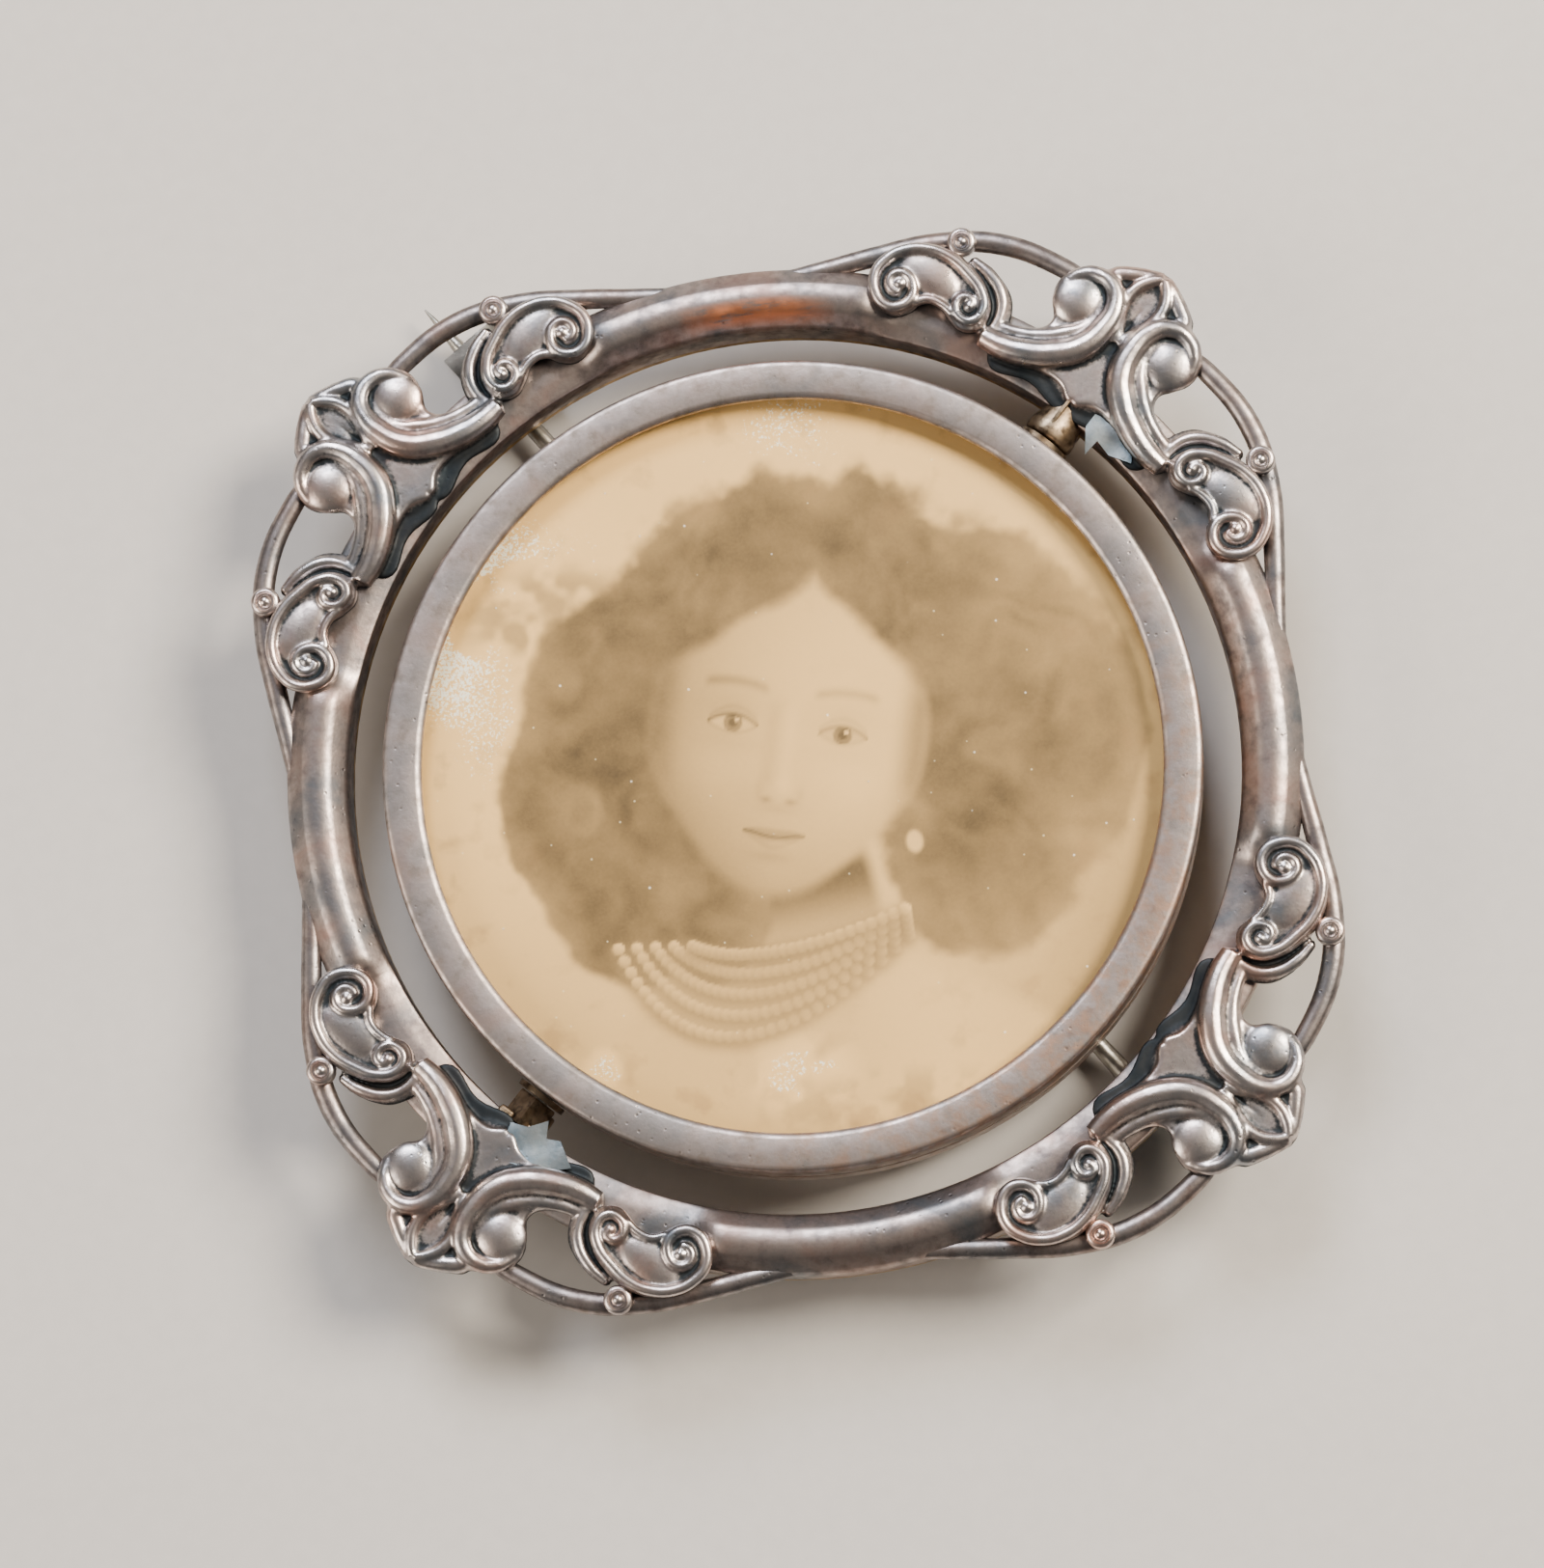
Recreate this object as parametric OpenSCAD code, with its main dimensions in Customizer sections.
// Swivelling photograph locket brooch: a round two-sided picture case that turns in a square
// scrollwork frame, with a brooch pin behind. Lies face up: +Z is the front, +Y the top edge.
// The origin is the middle of the frame, level with the lowest point of the pin hinge.

/* [Frame] */
// Outside radius of the plain border band
band_outer_r = 21.9; // [18:0.1:27]
// Width of the border band
band_w = 2.65; // [2.2:0.05:3]
// Height of the border band's side walls above the backing ring
band_wall_h = 1.95; // [1.4:0.05:2.4]
// Rise of the border band's flat crown above its side walls
band_rise = 0.65; // [0.3:0.05:0.75]
// Width of the bevel on each side of the crown
band_bevel = 0.75; // [0.4:0.05:0.85]
// Thickness of the stamped silver sheet
sheet_t = 0.4; // [0.25:0.05:0.6]
// Thickness of the brass ring that closes the back of the frame
backing_t = 0.4; // [0.3:0.05:0.8]

/* [Corner scrolls] */
// Thickness of a corner stamping over its own rim
scroll_t = 1.15; // [0.7:0.05:1.4]
// Half thickness of the raised ribs on the scrolls
rib_r = 0.42; // [0.25:0.01:0.6]
// Radius of the domed boss inside each large scroll
boss_r = 0.95; // [0.6:0.05:1.2]
// Radius of the small shot beads between scroll and edge wire
bead_r = 0.6; // [0.4:0.05:0.8]
// Half width of the half-round edge wire
wire_r = 0.4; // [0.3:0.05:0.55]

/* [Locket case] */
// Open ring between the case and the frame
case_gap = 1.65; // [1.4:0.05:3]
// Thickness of the whole case, bezel face to bezel face
case_t = 4; // [3.4:0.1:5]
// Width of the flat bezel face seen around the glass
bezel_w = 1.7; // [1.2:0.1:2.4]
// Thickness of the bezel metal
bezel_t = 0.35; // [0.25:0.05:0.5]
// Width of the open groove between the two bezels
groove_w = 0.3; // [0.2:0.05:0.6]
// Thickness of the brass case band
case_band_t = 0.5; // [0.3:0.05:0.7]
// Thickness of each glass
glass_t = 0.8; // [0.5:0.05:1]
// Thickness of each photographic print on its card
print_t = 0.25; // [0.15:0.05:0.35]

/* [Swivel] */
// Radius of the swivel pin where it turns in its bracket
journal_r = 0.4; // [0.3:0.05:0.5]
// Radius of the washer between case and bracket
washer_r = 1.15; // [0.9:0.05:1.4]
// Thickness of that washer
washer_t = 0.25; // [0.15:0.05:0.3]
// Thickness of the bracket's standing lug
lug_t = 0.5; // [0.4:0.05:0.55]
// Width of the bracket's standing lug
lug_w = 2.4; // [2:0.1:3]

/* [Brooch pin] */
// Radius of the pin stem along its straight part
stem_r = 0.4; // [0.3:0.05:0.45]
// Radius of the rivet that the pin turns on
rivet_r = 0.45; // [0.35:0.05:0.55]
// Outside radius of the pin's rolled barrel
barrel_r = 0.95; // [0.8:0.05:1]
// Length of the pin's rolled barrel
barrel_len = 2.4; // [1.8:0.1:3]
// Thickness of each hinge ear
ear_t = 0.7; // [0.5:0.05:1]
// Direction of the pin from its hinge to its point, in degrees from +X
pin_angle = 124.4; // [118:0.1:130]
// Distance by which the pin passes to the right of the frame's middle
pin_offset = 1.84; // [0:0.02:2.6]
// Distance of the pin's point past the border band's outside radius
point_past = 5; // [3:0.1:5.5]

/* [Clearances] */
// Radial clearance of the swivel pins and the hinge rivet
turn_clear = 0.03; // [0.02:0.01:0.08]
// Radial clearance of the bezels over the case band
bezel_clear = 0.05; // [0.03:0.01:0.1]
// Gap between parts that pass each other
pass_clear = 0.05; // [0.03:0.01:0.15]
// Gap between the case and the pin stem behind it
stem_clear = 0.6; // [0.58:0.02:1.2]

/* [Hidden] */
$fn = 96;

silver = [0.72, 0.68, 0.68];
dark_silver = [0.5, 0.47, 0.47];
brass = [0.72, 0.56, 0.28];
copper_brown = [0.45, 0.32, 0.22];
steel = [0.66, 0.66, 0.66];
sepia = [0.78, 0.66, 0.46];

upper = 45;                    // direction of the upper right swivel pivot
lower = 225;                   // direction of the lower left swivel pivot
eps = 0.01;                    // how far a cutting shape runs past what it cuts
foot_t = 0.4;                  // thickness of the feet soldered under the frame
head_t = 0.3;                  // thickness of the riveted-over heads

// heights, from the underside of the hinge up
pin_z = 1.15;                                    // centre of the pin hinge
case_half = case_t / 2;
swivel_z = pin_z + stem_r + stem_clear + case_half;
frame_drop = 1.5;                                // frame's back face below the swivel axis
rim_rise = 2.05;                                 // edge wire and stampings above that face
frame_z = swivel_z - frame_drop;
band_z = frame_z + backing_t;
wall_z = band_z + band_wall_h;
band_inner_r = band_outer_r - band_w;
rim_z = frame_z + rim_rise;
scroll_z = rim_z + scroll_t;
sink = 0.1;                                      // how deep relief is rooted in a stamping

// one half of the upper right corner, its other half being its mirror image on the diagonal;
// drawn for a band of 21.9 mm radius and laid out in proportion to the band
layout = band_outer_r / 21.9;
volute = layout * [14.84, 18.37];
volute_r = layout * 1.75;
sweep = layout * [13.1, 18.9];          // middle of the long scroll's curve
sweep_in = layout * 1.35;
sweep_out = layout * 3.4;
drop = layout * [17.5, 17.5];
drop_r = 1.0;
half_web = layout * [[14.1, 14.1], [13.2, 15.5], [15, 20], [15.7, 19.9], [18.4, 19.3], [19, 19]];
near_curl = layout * [9.83, 18.43];     // cartouche curl next to the long scroll
far_curl = layout * [7.04, 19.54];      // cartouche curl next to the plain band
cartouche = layout * [8.85, 20.15];
cartouche_r = layout * 1.85;
curl_r = layout * 1.4;
curl_rib_r = 0.75;
bead = layout * [9.9, 21.6];
wire_c = layout * [8.1, 11.9];          // middle of the edge wire's curve
wire_sweep_r = layout * 10.2;
wire_from = 50;                // angles at which the edge wire starts and ends
wire_to = 113;

// locket
case_r = band_inner_r - case_gap;
glass_open_r = case_r - bezel_w;
bezel_wall_r = case_r - bezel_t;
case_band_r = bezel_wall_r - bezel_clear;
stack_half = case_half - bezel_t;                // half height between the bezel faces
glass_in = stack_half - glass_t;                 // inner face of each glass
print_in = glass_in - print_t;                   // inner face of each print
disc_r = case_band_r - case_band_t - 0.1;        // glasses, prints and card, loose in the band
root_r = journal_r + 0.1;                        // swivel pin where it is soldered to the case
root_in = case_band_r - 0.4;                     // its inner end, inside the case band's wall
root_reach = case_r + pass_clear;
lug_x = root_reach + washer_t + pass_clear;
bracket_z = frame_z - foot_t;
bracket_reach = band_outer_r - 0.6;              // outer end of the bracket's foot

// pin line, in a frame whose x runs along the pin
hinge_reach = band_inner_r + band_w / 2;
point_reach = band_outer_r + point_past;
hinge_x = -sqrt(pow(hinge_reach, 2) - pow(pin_offset, 2));
ear_y = barrel_len / 2 + pass_clear;
barrel_bore_r = rivet_r + turn_clear;
stem_tip_r = 0.3;
stem_straight_from = hinge_x + 3;
point_len = 2.2;
catch_x = -hinge_x - 0.6;
stem_straight_to = catch_x - 0.9;
catch_len = 4.3;
catch_r = 1.28;
catch_t = 0.4;
catch_flange = 1;              // foot of the catch on the stem's other side
catch_side = 0.85;             // how far the catch's curl lies to the side of the stem

// ---------- frame ----------

// Cross-section of the band, bevelled both sides of a flat crown: shrunk inside by t, foot at z
module band_section(t, z) {
    inner = band_inner_r + t;
    outer = band_outer_r - t;
    crown_z = wall_z + band_rise - t;
    polygon([
        [inner, z], [inner, wall_z - t / 2], [inner + band_bevel, crown_z],
        [outer - band_bevel, crown_z], [outer, wall_z - t / 2], [outer, z]
    ]);
}

module band_envelope() {
    rotate_extrude() band_section(0, frame_z);
}

module border_band() {
    color(silver) rotate_extrude() difference() {
        band_section(0, band_z);
        band_section(sheet_t, band_z - eps);
    }
}

module backing_ring() {
    color(brass) translate([0, 0, frame_z]) difference() {
        cylinder(h = backing_t, r = band_outer_r);
        translate([0, 0, -eps]) cylinder(h = backing_t + 2 * eps, r = band_inner_r);
    }
}

// One edge wire: half-round, springing from the band and dying under the corner scroll
module edge_wire() {
    difference() {
        translate([wire_c[0], wire_c[1], rim_z])
            rotate([0, 0, wire_from])
                rotate_extrude(angle = wire_to - wire_from)
                    translate([wire_sweep_r, 0]) intersection() {
                        circle(wire_r);
                        translate([-wire_r, 0]) square([2 * wire_r, wire_r]);
                    }
        band_envelope();
    }
}

module half_plan() {
    translate(volute) circle(volute_r);
    translate(cartouche) circle(cartouche_r);
    translate(near_curl) circle(curl_r);
    translate(far_curl) circle(curl_r);
    difference() {
        translate(sweep) circle(sweep_out);
        translate(sweep) circle(sweep_in);
        translate([sweep[0] - sweep_out, sweep[1]]) square([2 * sweep_out, sweep_out]);
    }
}

// The sheet between the two halves, a half outline and its mirror image on the diagonal
module web_plan() {
    last = len(half_web) - 1;
    difference() {
        polygon(concat(half_web, [for (i = [last - 1:-1:1]) [half_web[i][1], half_web[i][0]]]));
        both_halves() translate(sweep) circle(sweep_in);
    }
}

module corner_plan() {
    web_plan();
    both_halves() half_plan();
}

// A raised rib along an arc; its foot is sunk in the stamping
module arc_rib(c, r, from, to, t) {
    translate([c[0], c[1], scroll_z - sink]) rotate([0, 0, from])
        rotate_extrude(angle = to - from) translate([r, 0]) intersection() {
            translate([0, sink]) circle(t);
            translate([-t, 0]) square([2 * t, 2 * t]);
        }
}

// A domed boss of radius r, cut off where it meets the stamping
module boss(c, r) {
    translate([c[0], c[1], scroll_z - sink]) rotate_extrude() intersection() {
        translate([0, -r * 0.3]) circle(r);
        square([r, r]);
    }
}

module half_relief() {
    arc_rib(sweep, (sweep_in + sweep_out) / 2, 190, 330, rib_r);
    arc_rib(volute, volute_r - rib_r, -120, 200, rib_r);
    arc_rib(near_curl, curl_rib_r, -60, 200, rib_r * 0.6);
    arc_rib(far_curl, curl_rib_r, -20, 240, rib_r * 0.6);
    boss(volute, boss_r);
}

module both_halves() {
    children();
    mirror([1, -1, 0]) children();
}

module bead_shape() {
    translate([bead[0], bead[1], rim_z]) {
        cylinder(h = scroll_t * 0.7, r = bead_r);
        translate([0, 0, scroll_t * 0.7]) sphere(bead_r * 0.8);
    }
}

module corner_scroll() {
    difference() {
        union() {
            translate([0, 0, rim_z]) linear_extrude(scroll_t) corner_plan();
            both_halves() half_relief();
            boss(drop, drop_r);
        }
        band_envelope();
        both_halves() edge_wire();
        both_halves() bead_shape();
    }
}

module scroll_upper_right() { color(silver) corner_scroll(); }
module scroll_upper_left() { color(silver) rotate([0, 0, 90]) corner_scroll(); }
module scroll_lower_left() { color(silver) rotate([0, 0, 180]) corner_scroll(); }
module scroll_lower_right() { color(silver) rotate([0, 0, 270]) corner_scroll(); }

// Edge wires in order round the frame: turn says which corner, flip which side of it
module placed_wire(turn, flip) {
    color(dark_silver) rotate([0, 0, turn]) mirror(flip ? [1, -1, 0] : [0, 0, 0]) edge_wire();
}

module shot_beads() {
    color(silver) for (turn = [0:90:270]) rotate([0, 0, turn]) both_halves() difference() {
        bead_shape();
        edge_wire();
        band_envelope();
    }
}

// ---------- swivel ----------

module swivel_bracket(direction) {
    color(copper_brown) rotate([0, 0, direction]) {
        difference() {
            union() {
                translate([lug_x, -lug_w / 2, bracket_z])
                    cube([lug_t, lug_w, swivel_z - bracket_z]);
                translate([lug_x, 0, swivel_z]) rotate([0, 90, 0])
                    cylinder(h = lug_t, r = lug_w / 2);
            }
            translate([lug_x - eps, 0, swivel_z]) rotate([0, 90, 0])
                cylinder(h = lug_t + 2 * eps, r = journal_r + turn_clear);
        }
        translate([lug_x + lug_t, -lug_w / 2, bracket_z])
            cube([bracket_reach - lug_x - lug_t, lug_w, foot_t]);
    }
}

module swivel_pin(direction) {
    to_head = lug_x + lug_t + pass_clear - root_in;
    color(steel) difference() {
        rotate([0, 0, direction]) translate([root_in, 0, swivel_z]) rotate([0, 90, 0]) {
            cylinder(h = root_reach - root_in, r = root_r);
            cylinder(h = to_head + head_t, r = journal_r);
            translate([0, 0, to_head]) cylinder(h = head_t, r = journal_r + 0.2);
        }
        cylinder(h = 2 * swivel_z, r = case_band_r);
    }
}

module swivel_washer(direction) {
    color(copper_brown) rotate([0, 0, direction]) translate([root_reach, 0, swivel_z])
        rotate([0, 90, 0]) difference() {
            cylinder(h = washer_t, r = washer_r);
            translate([0, 0, -eps]) cylinder(h = washer_t + 2 * eps, r = journal_r);
        }
}

// ---------- locket case ----------

module case_band() {
    color(brass) translate([0, 0, swivel_z - stack_half]) difference() {
        cylinder(h = 2 * stack_half, r = case_band_r);
        translate([0, 0, -eps]) cylinder(h = 2 * stack_half + 2 * eps, r = case_band_r - case_band_t);
    }
}

// A bezel, face up, with its face at case_half above the swivel axis and a notch at each pivot
module bezel() {
    notch = root_r + pass_clear;
    difference() {
        rotate_extrude() {
            translate([glass_open_r, stack_half]) square([bezel_wall_r - glass_open_r, bezel_t]);
            translate([bezel_wall_r, groove_w / 2]) square([bezel_t, stack_half - groove_w / 2]);
            intersection() {
                translate([bezel_wall_r, stack_half]) circle(bezel_t);
                translate([bezel_wall_r, stack_half]) square(bezel_t);
            }
        }
        for (direction = [upper, lower]) rotate([0, 0, direction])
            translate([bezel_wall_r - 0.5, -notch, 0]) cube([2, 2 * notch, notch]);
    }
}

module front_bezel() {
    color(silver) translate([0, 0, swivel_z]) bezel();
}

module rear_bezel() {
    color(silver) translate([0, 0, swivel_z]) mirror([0, 0, 1]) bezel();
}

// A disc of the picture stack, lying between two heights measured from the swivel axis
module stack_disc(from, to) {
    translate([0, 0, swivel_z + from]) cylinder(h = to - from, r = disc_r);
}

module front_glass() { color([0.8, 0.85, 0.85, 0.4]) stack_disc(glass_in, stack_half); }
module portrait_print() { color(sepia) stack_disc(print_in, glass_in); }
module packing_card() { color([0.6, 0.55, 0.45]) stack_disc(-print_in, print_in); }
module rear_print() { color(sepia) stack_disc(-glass_in, -print_in); }
module rear_glass() { color([0.8, 0.85, 0.85, 0.4]) stack_disc(-stack_half, -glass_in); }

// ---------- brooch pin ----------

module on_pin_line() {
    rotate([0, 0, pin_angle]) translate([0, -pin_offset, 0]) children();
}

module hinge_bracket() {
    color(steel) on_pin_line() translate([hinge_x, 0, 0]) {
        translate([-pin_z, -ear_y - ear_t, frame_z - foot_t])
            cube([2 * pin_z, 2 * (ear_y + ear_t), foot_t]);
        for (side = [-ear_y - ear_t, ear_y]) difference() {
            union() {
                translate([-pin_z, side, pin_z]) cube([2 * pin_z, ear_t, frame_z - foot_t - pin_z]);
                translate([0, side, pin_z]) rotate([-90, 0, 0]) cylinder(h = ear_t, r = pin_z);
            }
            translate([0, side - eps, pin_z]) rotate([-90, 0, 0])
                cylinder(h = ear_t + 2 * eps, r = barrel_bore_r);
        }
    }
}

module hinge_rivet() {
    head_y = ear_y + ear_t + pass_clear;
    color(steel) on_pin_line() translate([hinge_x, 0, pin_z]) rotate([-90, 0, 0]) {
        translate([0, 0, -head_y]) cylinder(h = 2 * head_y, r = rivet_r);
        for (side = [-head_y - head_t, head_y])
            translate([0, 0, side]) cylinder(h = head_t, r = rivet_r + 0.3);
    }
}

module pin_barrel() {
    color(steel) on_pin_line() translate([hinge_x, -barrel_len / 2, pin_z]) rotate([-90, 0, 0])
        difference() {
            cylinder(h = barrel_len, r = barrel_r);
            translate([0, 0, -eps]) cylinder(h = barrel_len + 2 * eps, r = barrel_bore_r);
        }
}

// The stem is turned in one piece: tapering root, straight shank, slow taper and point
module pin_stem() {
    shank_from = stem_straight_from - hinge_x;
    shank_to = stem_straight_to - hinge_x;
    tip = point_reach - hinge_x;
    color(steel) on_pin_line() difference() {
        translate([hinge_x, 0, pin_z]) rotate([0, 90, 0]) rotate_extrude() polygon([
            [0, 0], [stem_r + 0.1, 0], [stem_r, shank_from], [stem_r, shank_to],
            [stem_tip_r, tip - point_len], [0.04, tip], [0, tip]
        ]);
        translate([hinge_x, -barrel_len, pin_z]) rotate([-90, 0, 0])
            cylinder(h = 2 * barrel_len, r = barrel_r);
    }
}

// An open C of strip soldered under the frame; its lip ends beside the stem
module pin_catch() {
    centre_z = frame_z - catch_r;
    color(steel) on_pin_line() translate([catch_x, 0, 0]) rotate([90, 0, 90])
        linear_extrude(catch_len) {
            difference() {
                translate([-catch_side, centre_z]) circle(catch_r);
                translate([-catch_side, centre_z]) circle(catch_r - catch_t);
                translate([-catch_side, centre_z - catch_r]) square([catch_r, 2 * catch_r]);
            }
            translate([-catch_side, frame_z - catch_t]) square([catch_side + catch_flange, catch_t]);
            translate([-catch_side, centre_z - catch_r])
                square([catch_side - stem_r - 2 * pass_clear, catch_t]);
        }
}

border_band();
backing_ring();
scroll_upper_right();
scroll_upper_left();
scroll_lower_left();
scroll_lower_right();
placed_wire(0, false);  // wire_top_right
placed_wire(0, true);  // wire_right_upper
placed_wire(90, false);  // wire_left_upper
placed_wire(90, true);  // wire_top_left
placed_wire(180, false);  // wire_bottom_left
placed_wire(180, true);  // wire_left_lower
placed_wire(270, false);  // wire_right_lower
placed_wire(270, true);  // wire_bottom_right
shot_beads();
swivel_bracket(upper);  // swivel_bracket_upper
swivel_bracket(lower);  // swivel_bracket_lower
hinge_bracket();
pin_catch();
hinge_rivet();
pin_barrel();
pin_stem();
case_band();
front_bezel();
rear_bezel();
front_glass();
rear_glass();
portrait_print();
rear_print();
packing_card();
swivel_pin(upper);  // swivel_pin_upper
swivel_pin(lower);  // swivel_pin_lower
swivel_washer(upper);  // swivel_washer_upper
swivel_washer(lower);  // swivel_washer_lower
